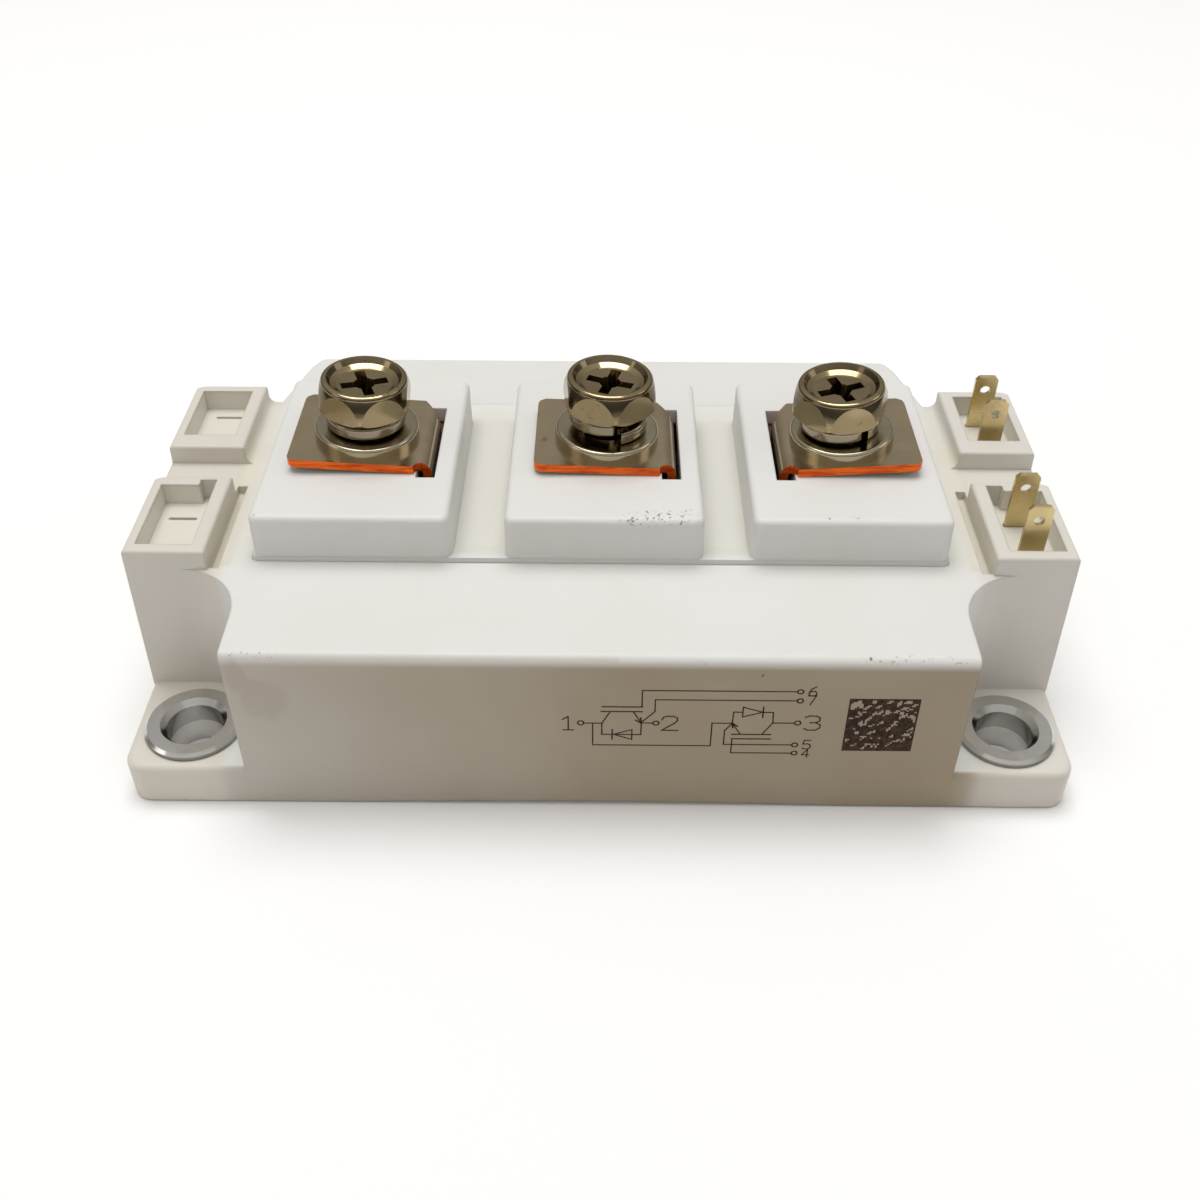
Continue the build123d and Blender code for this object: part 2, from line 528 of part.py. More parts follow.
# ---------------------------------------------------------------- circuit inside
sub_x0, sub_x1, sub_y = 1.2, 37.0, 21.5
for side, tag in ((-1, "left"), (1, "right")):
    mid = side * (sub_x0 + sub_x1) / 2
    span = sub_x1 - sub_x0
    with BuildPart() as solder:
        with BuildSketch(Plane.XY.offset(plate_t)):
            with Locations((mid, 0)):
                Rectangle(span - 0.8, 2 * sub_y - 0.8)
        extrude(amount=0.2)
    solder.part.label = "solder_" + tag
    export_step(solder.part, "parts/solder_" + tag + ".step")

    with BuildPart() as back_copper:
        with BuildSketch(Plane.XY.offset(plate_t + 0.2)):
            with Locations((mid, 0)):
                Rectangle(span - 0.8, 2 * sub_y - 0.8)
        extrude(amount=0.3)
    back_copper.part.label = "back_copper_" + tag
    export_step(back_copper.part, "parts/back_copper_" + tag + ".step")

    with BuildPart() as ceramic:
        with BuildSketch(Plane.XY.offset(plate_t + 0.5)):
            with Locations((mid, 0)):
                Rectangle(span, 2 * sub_y)
        extrude(amount=0.4)
    ceramic.part.label = "ceramic_" + tag
    export_step(ceramic.part, "parts/ceramic_" + tag + ".step")

    pad_x0, pad_x1 = sub_x0 + 0.7, 34.7
    with BuildPart() as circuit_copper:
        with BuildSketch(Plane.XY.offset(plate_t + 0.9)):
            for y0, y1 in ((-20.8, -7.2), (-6.4, 5.6), (6.4, 20.8)):
                with Locations((side * (pad_x0 + pad_x1) / 2, (y0 + y1) / 2)):
                    Rectangle(pad_x1 - pad_x0, y1 - y0)
            with Locations(*[(side * 35.95, y) for y in ctrl_y.values()]):
                Rectangle(1.5, 3.0)
        extrude(amount=0.3)
    circuit_copper.part.label = "circuit_copper_" + tag
    export_step(circuit_copper.part, "parts/circuit_copper_" + tag + ".step")

    chip_x = (29.3, 10.0) if side < 0 else (29.3, 15.6)
    with BuildPart() as igbt_chips:
        with BuildSketch(Plane.XY.offset(copper_z)):
            with Locations(*[(side * x, -14.2) for x in chip_x]):
                Rectangle(9.8, 11.0)
        extrude(amount=0.3)
    igbt_chips.part.label = "igbt_chips_" + tag
    export_step(igbt_chips.part, "parts/igbt_chips_" + tag + ".step")

    with BuildPart() as diode_chips:
        with BuildSketch(Plane.XY.offset(copper_z)):
            with Locations(*[(side * x, 13.4) for x in chip_x]):
                Rectangle(9.0, 9.0)
        extrude(amount=0.3)
    diode_chips.part.label = "diode_chips_" + tag
    export_step(diode_chips.part, "parts/diode_chips_" + tag + ".step")

    # bond wires: flat feet on chip and copper, an arch between them
    wire_r = 0.19
    low_z = copper_z + wire_r
    high_z = copper_z + 0.3 + wire_r
    wires = []
    for ya, yb in ((-11.0, -6.1), (11.2, 5.3)):
        for cx in chip_x:
            for k in range(4):
                x = side * cx + (k - 1.5) * (1.7 if cx < 29 else 1.9)
                d = 1 if yb > ya else -1
                arch = [(x, ya + (yb - ya) * f, high_z + h) for f, h in ((0.12, 0.75), (0.3, 1.3), (0.52, 1.5), (0.74, 1.1), (0.9, 0.35))]
                with BuildPart() as wire:
                    with BuildLine() as path:
                        Polyline((x, ya - d * 0.7, high_z), (x, ya, high_z), *arch, (x, yb, low_z), (x, yb + d * 0.7, low_z))
                    with BuildSketch(Plane(origin=(x, ya - d * 0.7, high_z), x_dir=(1, 0, 0), z_dir=(0, d, 0))):
                        RegularPolygon(wire_r, 8)
                    sweep(path=path.line, transition=Transition.RIGHT)
                wires.append(wire.part)
    bond_wires = Compound(children=[w.solids()[0] for w in wires])
    bond_wires.label = "bond_wires_" + tag
    export_step(bond_wires, "parts/bond_wires_" + tag + ".step")
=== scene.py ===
import math
import random

import bmesh
import bpy
from mathutils import Matrix, Vector


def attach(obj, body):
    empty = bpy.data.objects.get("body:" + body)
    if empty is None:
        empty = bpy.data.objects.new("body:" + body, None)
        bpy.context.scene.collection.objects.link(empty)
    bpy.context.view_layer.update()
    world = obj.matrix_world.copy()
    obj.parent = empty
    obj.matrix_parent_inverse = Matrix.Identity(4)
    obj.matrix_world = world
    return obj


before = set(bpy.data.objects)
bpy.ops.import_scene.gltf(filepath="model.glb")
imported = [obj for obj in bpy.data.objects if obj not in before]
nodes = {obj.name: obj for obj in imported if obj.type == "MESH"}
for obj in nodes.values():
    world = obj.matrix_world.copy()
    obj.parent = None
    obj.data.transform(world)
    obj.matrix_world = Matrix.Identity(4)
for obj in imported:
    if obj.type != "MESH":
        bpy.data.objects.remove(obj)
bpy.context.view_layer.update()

MM = 0.001
scene = bpy.context.scene


# ------------------------------------------------------------------ node helpers
class Mat:
    """A Principled material with short calls for its pattern nodes. Positions are in metres, in the part's own frame."""

    def __init__(self, name):
        self.mat = bpy.data.materials.new(name)
        self.mat.use_nodes = True
        self.tree = self.mat.node_tree
        self.tree.nodes.clear()
        self.out = self.add("ShaderNodeOutputMaterial")
        self.bsdf = self.add("ShaderNodeBsdfPrincipled")
        self.tree.links.new(self.bsdf.outputs["BSDF"], self.out.inputs["Surface"])
        self.pos = self.add("ShaderNodeTexCoord").outputs["Object"]
        split = self.add("ShaderNodeSeparateXYZ")
        self.plug(split.inputs[0], self.pos)
        self.x, self.y, self.z = split.outputs

    def add(self, kind, **props):
        node = self.tree.nodes.new(kind)
        for k, v in props.items():
            setattr(node, k, v)
        return node

    def plug(self, socket, value):
        if isinstance(value, bpy.types.NodeSocket):
            self.tree.links.new(value, socket)
        elif isinstance(value, (tuple, list)) and len(value) == 3 and socket.type == "RGBA":
            socket.default_value = (*value, 1.0)
        else:
            socket.default_value = value

    def set(self, **values):
        names = {"color": "Base Color", "rough": "Roughness", "metal": "Metallic", "normal": "Normal", "spec": "Specular IOR Level",
                 "coat": "Coat Weight", "coat_rough": "Coat Roughness", "sss": "Subsurface Weight", "aniso": "Anisotropic"}
        for k, v in values.items():
            self.plug(self.bsdf.inputs[names[k]], v)
        return self

    def math(self, op, a, b=0.0, c=0.0, clamp=False):
        n = self.add("ShaderNodeMath", operation=op, use_clamp=clamp)
        for i, v in enumerate((a, b, c)):
            self.plug(n.inputs[i], v)
        return n.outputs[0]

    def noise(self, scale, detail=3.0, rough=0.55, at=None, warp=0.0):
        n = self.add("ShaderNodeTexNoise")
        self.plug(n.inputs["Vector"], at or self.pos)
        for k, v in (("Scale", scale), ("Detail", detail), ("Roughness", rough), ("Distortion", warp)):
            n.inputs[k].default_value = v
        return n.outputs["Fac"]

    def stretched(self, sx, sy, sz, turn=(0, 0, 0)):
        n = self.add("ShaderNodeMapping")
        self.plug(n.inputs["Vector"], self.pos)
        n.inputs["Scale"].default_value = (sx, sy, sz)
        n.inputs["Rotation"].default_value = turn
        return n.outputs[0]

    def smooth(self, v, lo, hi, to=(0.0, 1.0)):
        n = self.add("ShaderNodeMapRange", interpolation_type="SMOOTHSTEP", clamp=True)
        for i, x in enumerate((v, lo, hi, to[0], to[1])):
            self.plug(n.inputs[i], x)
        return n.outputs[0]

    def linear(self, v, lo, hi, to=(0.0, 1.0)):
        n = self.add("ShaderNodeMapRange", clamp=True)
        for i, x in enumerate((v, lo, hi, to[0], to[1])):
            self.plug(n.inputs[i], x)
        return n.outputs[0]

    def mix(self, fac, a, b):
        n = self.add("ShaderNodeMix", data_type="RGBA")
        self.plug(n.inputs["Factor"], fac)
        self.plug(n.inputs[6], a)
        self.plug(n.inputs[7], b)
        return n.outputs[2]

    def ball(self, centre, radii, soft=0.6):
        """1 inside an ellipsoid in millimetres, falling to 0 at its edge."""
        s = []
        for axis, c, r in zip((self.x, self.y, self.z), centre, radii):
            d = self.math("MULTIPLY", self.math("SUBTRACT", axis, c * MM), 1 / (r * MM))
            s.append(self.math("MULTIPLY", d, d))
        d2 = self.math("ADD", self.math("ADD", s[0], s[1]), s[2])
        return self.smooth(d2, 1.0, 1.0 - soft)

    def most(self, *vals):
        out = vals[0]
        for v in vals[1:]:
            out = self.math("MAXIMUM", out, v)
        return out

    def times(self, *vals):
        out = vals[0]
        for v in vals[1:]:
            out = self.math("MULTIPLY", out, v)
        return out

    def bump(self, height, distance_mm, strength=1.0, under=None):
        n = self.add("ShaderNodeBump")
        n.inputs["Distance"].default_value = distance_mm * MM
        n.inputs["Strength"].default_value = strength
        self.plug(n.inputs["Height"], height)
        if under is not None:
            self.plug(n.inputs["Normal"], under)
        return n.outputs[0]

    def normal_part(self, axis):
        g = self.add("ShaderNodeNewGeometry")
        s = self.add("ShaderNodeSeparateXYZ")
        self.plug(s.inputs[0], g.outputs["True Normal"])
        return s.outputs["XYZ".index(axis)]


def dress(obj, mat):
    """Every slot of the object takes the material."""
    if not obj.material_slots:
        obj.data.materials.append(mat)
    for s in obj.material_slots:
        s.material = mat


# ------------------------------------------------------------------ plastics
def plastic(name, light, deep, marks_and_painted_light=()):
    m = Mat(name)
    cloud = m.noise(70, 4, 0.6)
    color = m.mix(m.smooth(cloud, 0.35, 0.7), light, deep)
    # glass fibres leave a very fine flow grain in the moulding
    fibre = m.noise(900, 3, 0.6, at=m.stretched(1.0, 3.2, 2.2))
    color = m.mix(m.smooth(fibre, 0.58, 0.85, (0.0, 0.12)), color, tuple(c * 0.86 for c in deep))
    for mask, tint in marks_and_painted_light:
        color = m.mix(mask(m), color, tint)
    grain = m.noise(5200, 2, 0.6)
    wave = m.noise(240, 2, 0.5)
    rough = m.math("ADD", m.linear(cloud, 0.3, 0.7, (0.42, 0.50)), m.smooth(fibre, 0.6, 0.8, (0.0, 0.05)))
    # moulded edges are a little round
    edge = m.add("ShaderNodeBevel", samples=4)
    edge.inputs["Radius"].default_value = 0.32 * MM
    m.set(color=color, rough=rough, spec=0.42, normal=m.bump(wave, 0.02, 0.35, under=m.bump(grain, 0.012, 0.35, under=edge.outputs[0])))
    return m.mat


def specks(spots, scale, cut, span=0.06):
    """Small dark marks: noise that shows only inside the given ellipsoids."""
    def make(m):
        area = m.most(*[m.ball(c, r) for c, r in spots])
        n = m.noise(scale, 3, 0.6)
        return m.times(area, m.smooth(n, cut, cut + span))
    return make


def stains(spots, strength, scale=160):
    def make(m):
        area = m.most(*[m.ball(c, r, 0.95) for c, r in spots])
        n = m.smooth(m.noise(scale, 4, 0.6), 0.3, 0.65, (0.45, 1.0))
        return m.times(area, n, strength)
    return make


def front_painted_shade(m):
    # painted shade: the marked long side is darkened to a warm brown, more towards its right end; part of the brown is
    # yellowing of the plastic
    front = m.smooth(m.y, -29.9 * MM, -30.35 * MM)
    low = m.smooth(m.z, 22.0 * MM, 20.6 * MM)
    along = m.linear(m.x, -38 * MM, -2 * MM, (0.60, 0.97))
    ends = m.smooth(m.math("ABSOLUTE", m.x), 38.5 * MM, 46.0 * MM, (1.0, 0.35))
    uneven = m.smooth(m.noise(38, 3, 0.5), 0.3, 0.7, (0.88, 1.0))
    return m.times(front, low, along, uneven, ends)


def painted_bounce_and_tint(boxes, strength, soft=0.25):
    """Box masks that tint the plastic. In the pockets, channels, deck and trench the tint is painted bounce light and
    painted shade. Boxes are centre and half size in millimetres.
    """
    def make(m):
        masks = []
        for c, r in boxes:
            parts = [m.smooth(m.math("ABSOLUTE", m.math("SUBTRACT", axis, q * MM)), (h + soft) * MM, (h - soft) * MM)
                     for axis, q, h in zip((m.x, m.y, m.z), c, r)]
            masks.append(m.times(*parts))
        return m.math("MULTIPLY", m.most(*masks), strength)
    return make


def smudges(spots, strength, scale):
    """Broken brown film: noise decides where it holds inside the ellipsoids."""
    def make(m):
        area = m.most(*[m.ball(c, r, 1.0) for c, r in spots])
        n = m.noise(scale, 5, 0.7, warp=0.8)
        return m.times(m.smooth(m.math("ADD", m.math("MULTIPLY", area, 0.55), n), 0.62, 0.98), strength)
    return make


POCKETS = [((sx * 48.3, y, 23.4), (3.3, h, 1.35)) for sx in (-1, 1) for y, h in ((-9.7, 5.9), (11.7, 5.3))]
housing_marks_and_painted_light = [
    # painted shade darkens and browns the marked long side
    (front_painted_shade, (0.30, 0.235, 0.155)),
    # the two ends, sockets and ears, are tinted warmer and darker, the left end more
    (painted_bounce_and_tint([((-48.2, 0.0, 13.0), (6.2, 31.5, 14.0))], 0.80, 0.9), (0.62, 0.575, 0.505)),
    (painted_bounce_and_tint([((48.2, 0.0, 13.0), (6.2, 31.5, 14.0))], 0.60, 0.9), (0.62, 0.575, 0.505)),
    # painted bounce light: the socket pockets are warmed to a pale yellow tone
    (painted_bounce_and_tint(POCKETS, 0.9), (0.70, 0.675, 0.60)),
    # painted shade: the trench walls beside the front sockets are darkened to olive
    (painted_bounce_and_tint([((-42.6, -4.0, 23.0), (1.4, 12.0, 1.6)), ((42.6, -4.0, 23.0), (1.4, 12.0, 1.6))], 0.5), (0.62, 0.56, 0.42)),
    # painted bounce light: the deck beside each socket is warmed to a pale yellow tone
    (painted_bounce_and_tint([((-41.1, 1.0, 22.6), (2.6, 16.2, 1.2)), ((41.1, 1.0, 22.6), (2.6, 16.2, 1.2))], 0.6, 0.9), (0.70, 0.68, 0.61)),
    (smudges([((-35.5, -30.5, 16.0), (3.6, 2.0, 4.2)), ((-38.0, -30.5, 19.0), (1.6, 2.0, 3.4))], 0.20, 260), (0.26, 0.20, 0.13)),
    (smudges([((-38.5, -24.5, 3.0), (4.0, 7.0, 3.0)), ((38.5, -30.0, 3.5), (4.0, 3.0, 3.0))], 0.12, 170), (0.46, 0.37, 0.24)),
    (painted_bounce_and_tint([((-19.0, -30.4, 22.0), (21.0, 0.45, 0.32))], 0.22, 0.3), (0.40, 0.31, 0.21)),
    (stains([((17.0, -30.4, 20.05), (0.20, 1.0, 0.26)), ((28.0, -30.1, 22.15), (0.24, 0.5, 0.24))], 0.9), (0.06, 0.05, 0.04)),
    (specks([((-36.0, -30.2, 21.9), (3.8, 0.9, 0.55)), ((36.6, -30.2, 21.9), (2.4, 0.9, 0.6)), ((31.0, -30.0, 22.0), (4.5, 0.8, 0.5)),
             ((10.8, -30.2, 21.9), (0.7, 0.8, 0.6))], 2900, 0.57, 0.12), (0.36, 0.29, 0.21)),
]

PLASTIC_LIGHT, PLASTIC_DEEP = (0.695, 0.693, 0.672), (0.682, 0.674, 0.640)
housing_mat = plastic("housing_plastic", PLASTIC_LIGHT, PLASTIC_DEEP, housing_marks_and_painted_light)
cover_marks_and_painted_light = [
    # painted bounce light: the channel floors between the blocks are warmed to a pale yellow tone
    (painted_bounce_and_tint([((-13.6, 1.0, 22.4), (2.9, 15.0, 1.1)), ((14.1, 1.0, 22.4), (2.6, 15.0, 1.1))], 0.5), (0.68, 0.65, 0.56)),
    (specks([((6.4, -14.4, 28.3), (5.2, 1.5, 0.9))], 2100, 0.56), (0.30, 0.27, 0.235)),
    (specks([((4.5, -9.2, 29.0), (5.5, 1.4, 0.6)), ((8.8, -13.8, 28.8), (2.4, 1.6, 0.6)), ((26.5, -14.6, 28.6), (4.0, 1.2, 0.8)),
             ((-38.0, -14.4, 28.6), (1.2, 1.2, 0.8))], 1100, 0.62), (0.26, 0.23, 0.20)),
]
cover_mat = plastic("cover_plastic", (0.700, 0.698, 0.680), (0.688, 0.682, 0.655), cover_marks_and_painted_light)
dress(nodes["housing_frame"], housing_mat)
dress(nodes["top_cover"], cover_mat)


# ------------------------------------------------------------------ metals
def metal(name, light, dark, rough, grain=(1.0, 1.0, 1.0), grain_scale=900, grain_mm=0.004, blotch=140, spots=0.0, aniso=0.0, dark_reflection=0.0, upright_shade=0.0):
    m = Mat(name)
    cloud = m.noise(blotch, 4, 0.6)
    color = m.mix(m.smooth(cloud, 0.32, 0.68), light, dark)
    if spots:
        dirt = m.times(m.smooth(m.noise(1300, 3, 0.6), 0.60, 0.68), m.smooth(m.noise(260, 2, 0.5), 0.5, 0.62), spots)
        color = m.mix(dirt, color, (0.05, 0.04, 0.03))
    if dark_reflection:
        # painted reflection: faces tilted part way up, such as the rounded top above the hex flats, are darkened as if
        # mirroring the dim room
        nz = m.normal_part("Z")
        reflection_mask = m.times(m.smooth(nz, 0.10, 0.24), m.smooth(nz, 0.80, 0.52), m.smooth(cloud, 0.25, 0.6, (0.85, 1.0)), dark_reflection)
        color = m.mix(reflection_mask, color, (0.045, 0.036, 0.026))
    if upright_shade:
        # painted shade: upright walls such as the bore are darkened against the turned faces
        wall = m.times(m.smooth(m.math("ABSOLUTE", m.normal_part("Z")), 0.35, 0.10), m.smooth(cloud, 0.25, 0.6, (0.85, 1.0)), upright_shade)
        color = m.mix(wall, color, (0.20, 0.19, 0.165))
    lines = m.noise(grain_scale, 3, 0.6, at=m.stretched(*grain))
    r = m.math("ADD", m.linear(cloud, 0.3, 0.7, (rough - 0.04, rough + 0.06)), m.linear(lines, 0.3, 0.7, (-0.03, 0.03)))
    m.set(color=color, rough=r, metal=1.0, normal=m.bump(lines, grain_mm, 0.6))
    if aniso:
        m.set(aniso=aniso)
    return m


screw_mat = metal("screw_nickel", (0.38, 0.30, 0.175), (0.30, 0.235, 0.13), 0.12, grain_scale=1400, grain_mm=0.003, spots=0.5, dark_reflection=0.75).mat
washer_mat = metal("washer_nickel", (0.44, 0.39, 0.28), (0.36, 0.31, 0.215), 0.17, grain_scale=1200, grain_mm=0.003).mat
spring_mat = metal("spring_washer_nickel", (0.36, 0.31, 0.23), (0.28, 0.24, 0.17), 0.15, grain_scale=1200, grain_mm=0.004, dark_reflection=0.5).mat
nut_mat = metal("nut_nickel", (0.60, 0.57, 0.52), (0.52, 0.49, 0.44), 0.28).mat
tab_mat = metal("control_blade", (0.68, 0.55, 0.30), (0.58, 0.46, 0.23), 0.28, grain=(1, 1, 6), grain_scale=700, grain_mm=0.004).mat
bushing_mat = metal("bushing_nickel", (0.68, 0.67, 0.65), (0.57, 0.56, 0.54), 0.18, grain_scale=1600, grain_mm=0.004, upright_shade=0.75).mat


def terminal_material():
    m = Mat("terminal_plating")
    cloud = m.noise(120, 4, 0.6)
    plated = m.mix(m.smooth(cloud, 0.32, 0.7), (0.54, 0.44, 0.30), (0.42, 0.34, 0.23))
    # rolled sheet: long faint lines along the strip
    lines = m.noise(500, 3, 0.6, at=m.stretched(0.25, 4.0, 4.0))
    smear = m.times(m.smooth(m.noise(420, 4, 0.65), 0.60, 0.72), m.ball((-6.3, 1.5, 30.0), (2.6, 4.0, 1.5)), 0.75)
    plated = m.mix(smear, plated, (0.10, 0.08, 0.06))
    # sheared edges show the bare copper
    ny, nz, nx = m.normal_part("Y"), m.normal_part("Z"), m.normal_part("X")
    side = m.smooth(m.math("ABSOLUTE", ny), 0.30, 0.45)
    upright = m.smooth(m.math("ABSOLUTE", nz), 0.35, 0.2)
    notch = m.times(m.smooth(m.y, -5.4 * MM, -5.6 * MM), upright)
    ends = m.times(m.most(m.smooth(m.x, -35.8 * MM, -35.95 * MM), m.smooth(m.x, 35.8 * MM, 35.95 * MM),
                          m.times(m.smooth(m.x, -7.8 * MM, -7.95 * MM), m.smooth(m.x, -9.5 * MM, -9.2 * MM))), upright)
    cut = m.most(side, notch, ends)
    burnished = m.mix(m.smooth(m.noise(900, 3, 0.6, at=m.stretched(0.3, 1, 2.5)), 0.4, 0.65), (0.88, 0.155, 0.012), (0.56, 0.065, 0.006))
    color = m.mix(cut, plated, burnished)
    r = m.math("ADD", m.linear(cloud, 0.3, 0.7, (0.17, 0.26)), m.linear(lines, 0.3, 0.7, (-0.03, 0.03)))
    r = m.math("ADD", r, m.times(cut, 0.12))
    m.set(color=color, rough=r, metal=m.linear(cut, 0, 1, (1.0, 0.72)), normal=m.bump(lines, 0.004, 0.5))
    return m.mat


def baseplate_material():
    m = Mat("baseplate_metal")
    cloud = m.noise(60, 4, 0.6)
    plated = m.mix(m.smooth(cloud, 0.32, 0.7), (0.62, 0.60, 0.57), (0.52, 0.50, 0.47))
    # rim of the plate: plating worn through to the copper
    nz = m.normal_part("Z")
    outer = m.most(m.smooth(m.math("ABSOLUTE", m.x), 51.8 * MM, 52.2 * MM), m.smooth(m.math("ABSOLUTE", m.y), 29.4 * MM, 29.8 * MM))
    rim = m.times(outer, m.smooth(m.math("ABSOLUTE", nz), 0.9, 0.6), m.smooth(m.noise(180, 3, 0.6), 0.35, 0.6))
    color = m.mix(rim, plated, (0.34, 0.19, 0.11))
    lines = m.noise(700, 3, 0.6, at=m.stretched(0.15, 5.0, 1.0))
    r = m.math("ADD", m.linear(cloud, 0.3, 0.7, (0.30, 0.40)), m.linear(lines, 0.3, 0.7, (-0.04, 0.04)))
    m.set(color=color, rough=r, metal=1.0, normal=m.bump(lines, 0.006, 0.5))
    return m.mat


terminal_mat, base_mat = terminal_material(), baseplate_material()
copper_mat = metal("bonded_copper", (0.78, 0.38, 0.22), (0.66, 0.30, 0.17), 0.35).mat
solder_mat = metal("solder", (0.56, 0.56, 0.57), (0.46, 0.46, 0.47), 0.45).mat
wire_mat = metal("bond_wire", (0.86, 0.86, 0.87), (0.80, 0.80, 0.81), 0.3).mat


def chip_material():
    m = Mat("chip")
    grid = m.add("ShaderNodeTexBrick", offset=0.0)
    m.plug(grid.inputs["Vector"], m.pos)
    for k, v in (("Scale", 900.0), ("Mortar Size", 0.02), ("Brick Width", 0.5), ("Row Height", 0.5)):
        grid.inputs[k].default_value = v
    color = m.mix(grid.outputs["Fac"], m.mix(m.noise(300, 2), (0.55, 0.55, 0.57), (0.42, 0.42, 0.45)), (0.12, 0.12, 0.14))
    m.set(color=color, rough=m.linear(m.noise(800, 2), 0.3, 0.7, (0.25, 0.35)), metal=0.8)
    return m.mat


def ceramic_material():
    m = Mat("alumina")
    m.set(color=m.mix(m.noise(400, 3), (0.90, 0.90, 0.88), (0.84, 0.84, 0.82)), rough=m.linear(m.noise(1500, 2), 0.3, 0.7, (0.5, 0.62)),
          normal=m.bump(m.noise(3000, 2), 0.01, 0.4))
    return m.mat


chip_mat, ceramic_mat = chip_material(), ceramic_material()
for name, obj in nodes.items():
    for start, mat in (("bushing_", bushing_mat), ("power_terminal_", terminal_mat), ("captive_nut_", nut_mat), ("flat_washer_", washer_mat),
                       ("spring_washer_", spring_mat), ("terminal_screw_", screw_mat), ("control_tab_", tab_mat), ("baseplate", base_mat),
                       ("solder_", solder_mat), ("back_copper_", copper_mat), ("circuit_copper_", copper_mat), ("ceramic_", ceramic_mat),
                       ("igbt_chips_", chip_mat), ("diode_chips_", chip_mat), ("bond_wires_", wire_mat)):
        if name.startswith(start):
            dress(obj, mat)


# ------------------------------------------------------------------ marks on the long side
FACE_Y0, FACE_Z0, FACE_Z1, LEAN = -30.7, 5.3, 22.2, 0.35


def face_point(x, z, proud=0.0):
    y = FACE_Y0 + LEAN * (z - FACE_Z0) / (FACE_Z1 - FACE_Z0)
    return Vector((x, y - proud, z)) * MM


def stroke(bm, a, b, w, depth=0.012):
    """A thin printed bar between two points of the face, square ended."""
    d = Vector((b[0] - a[0], b[1] - a[1]))
    if d.length < 1e-6:
        return
    d.normalize()
    n = Vector((-d.y, d.x)) * w / 2
    e = d * w / 2
    ring = [(a[0] - e.x + n.x, a[1] - e.y + n.y), (a[0] - e.x - n.x, a[1] - e.y - n.y),
            (b[0] + e.x - n.x, b[1] + e.y - n.y), (b[0] + e.x + n.x, b[1] + e.y + n.y)]
    low = [bm.verts.new(face_point(x, z, -0.02)) for x, z in ring]
    top = [bm.verts.new(face_point(x, z, depth)) for x, z in ring]
    bm.faces.new(top)
    bm.faces.new(low[::-1])
    for i in range(4):
        j = (i + 1) % 4
        bm.faces.new((low[i], low[j], top[j], top[i]))


def chain(bm, pts, w=0.15, closed=False):
    pts = list(pts) + ([pts[0]] if closed else [])
    for a, b in zip(pts, pts[1:]):
        stroke(bm, a, b, w)


def circle(bm, x, z, rx, rz, w=0.15, n=14):
    chain(bm, [(x + rx * math.cos(2 * math.pi * k / n), z + rz * math.sin(2 * math.pi * k / n)) for k in range(n)], w, closed=True)


STROKES = {
    "1": [[(0.05, 0.78), (0.35, 1.0), (0.35, 0.0)], [(0.08, 0.0), (0.62, 0.0)]],
    "2": [[(0.0, 0.76), (0.06, 0.92), (0.2, 1.0), (0.46, 1.0), (0.62, 0.88), (0.62, 0.68), (0.5, 0.5), (0.0, 0.0), (0.66, 0.0)]],
    "3": [[(0.0, 0.9), (0.15, 1.0), (0.46, 1.0), (0.62, 0.87), (0.62, 0.66), (0.46, 0.53), (0.22, 0.53)],
          [(0.46, 0.53), (0.66, 0.38), (0.66, 0.16), (0.48, 0.0), (0.15, 0.0), (0.0, 0.1)]],
    "4": [[(0.48, 0.0), (0.48, 1.0), (0.0, 0.3), (0.66, 0.3)]],
    "5": [[(0.62, 1.0), (0.08, 1.0), (0.03, 0.56), (0.4, 0.6), (0.62, 0.46), (0.64, 0.18), (0.44, 0.0), (0.12, 0.0), (0.0, 0.12)]],
    "6": [[(0.55, 1.0), (0.2, 0.75), (0.02, 0.4), (0.04, 0.14), (0.2, 0.0), (0.46, 0.0), (0.64, 0.14), (0.62, 0.38), (0.46, 0.52), (0.2, 0.5), (0.03, 0.36)]],
    "7": [[(0.0, 1.0), (0.64, 1.0), (0.22, 0.0)]],
}


def numeral(bm, digit, x, z, height, w=0.16, width=0.62):
    for line in STROKES[digit]:
        chain(bm, [(x + (u - 0.33) * height * width / 0.62, z + (v - 0.5) * height) for u, v in line], w)


def piece(name, bm, mat):
    mesh = bpy.data.meshes.new(name)
    bmesh.ops.recalc_face_normals(bm, faces=bm.faces)
    bm.to_mesh(mesh)
    bm.free()
    obj = bpy.data.objects.new(name, mesh)
    scene.collection.objects.link(obj)
    obj.data.materials.append(mat)
    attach(obj, "root")
    return obj


def ink_material():
    m = Mat("laser_mark")
    n = m.noise(2600, 3, 0.6)
    m.set(color=m.mix(m.smooth(n, 0.35, 0.7), (0.030, 0.017, 0.011), (0.075, 0.048, 0.033)), rough=m.linear(n, 0.3, 0.7, (0.6, 0.8)), spec=0.1)
    return m.mat


ink = ink_material()
bm = bmesh.new()
# upper switch with its diode
chain(bm, [(-1.68, 12.96), (0.3, 12.96)])
chain(bm, [(-0.68, 12.96), (-0.68, 9.67), (12.12, 9.67), (12.12, 13.1), (14.27, 13.1)])
chain(bm, [(0.37, 15.4), (4.59, 15.4)], 0.17)
chain(bm, [(0.23, 14.71), (4.59, 14.71)], 0.17)
chain(bm, [(4.55, 15.4), (4.55, 17.8), (20.87, 17.8)])
chain(bm, [(1.17, 14.65), (0.3, 12.96), (0.3, 11.29), (4.53, 11.29), (4.53, 13.06)])
chain(bm, [(3.67, 14.65), (4.53, 13.06)])
chain(bm, [(3.95, 13.44), (4.53, 13.02), (4.45, 13.78)], 0.2)
chain(bm, [(4.53, 13.04), (5.77, 13.04)])
chain(bm, [(4.57, 13.15), (5.95, 14.76), (5.95, 16.48), (20.97, 16.48)])
chain(bm, [(1.42, 12.0), (1.42, 10.57)], 0.17)
chain(bm, [(1.55, 11.29), (3.55, 12.02), (3.55, 10.55)], closed=True)
